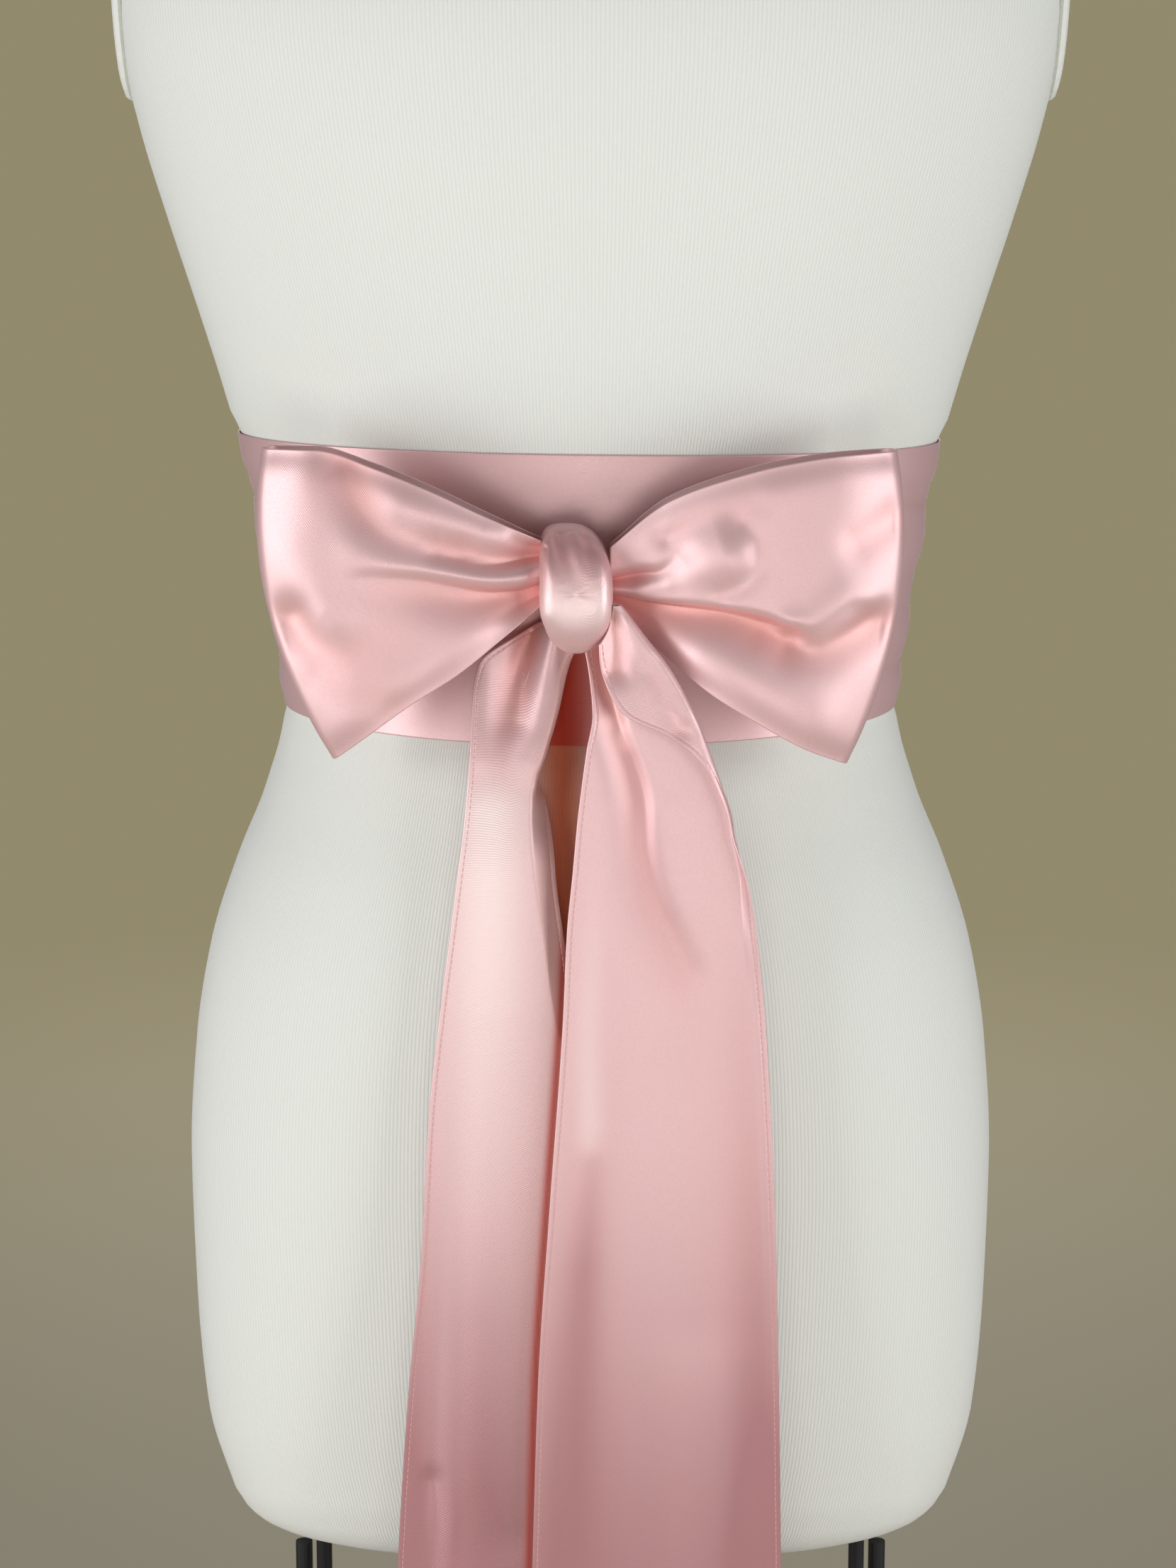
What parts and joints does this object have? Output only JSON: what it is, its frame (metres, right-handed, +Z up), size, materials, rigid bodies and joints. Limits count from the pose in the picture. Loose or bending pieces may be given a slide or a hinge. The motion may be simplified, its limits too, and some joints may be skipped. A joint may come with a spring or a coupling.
{
  "type": "satin sash on dress form",
  "caption": "Wide satin sash wound round the waist of a limbless dress form on a low metal stand and tied in a front bow with long hanging tails.",
  "frame": {"origin": "on the floor, at the middle between the four posts, on the base plate's underside", "axes": "+Z up along the dress form, -Y towards the front where the bow is, +X to the right seen from the front"},
  "size_m": [0.3712, 0.271, 1.1405],
  "materials": {
    "satin": "satin",
    "jersey": "matte",
    "black_metal": "satin"
  },
  "bodies": {
    "root": {"form_torso": "jersey", "arm_plate_left": "jersey", "arm_plate_right": "jersey", "neck_cap": "jersey", "base_plate": "black_metal", "post_front_left": "black_metal", "post_front_right": "black_metal", "post_back_left": "black_metal", "post_back_right": "black_metal", "sash_band": "satin", "sash_knot": "satin", "loop_left": "satin", "loop_right": "satin", "tail_left": "satin", "tail_right": "satin"}
  },
  "joints": []
}
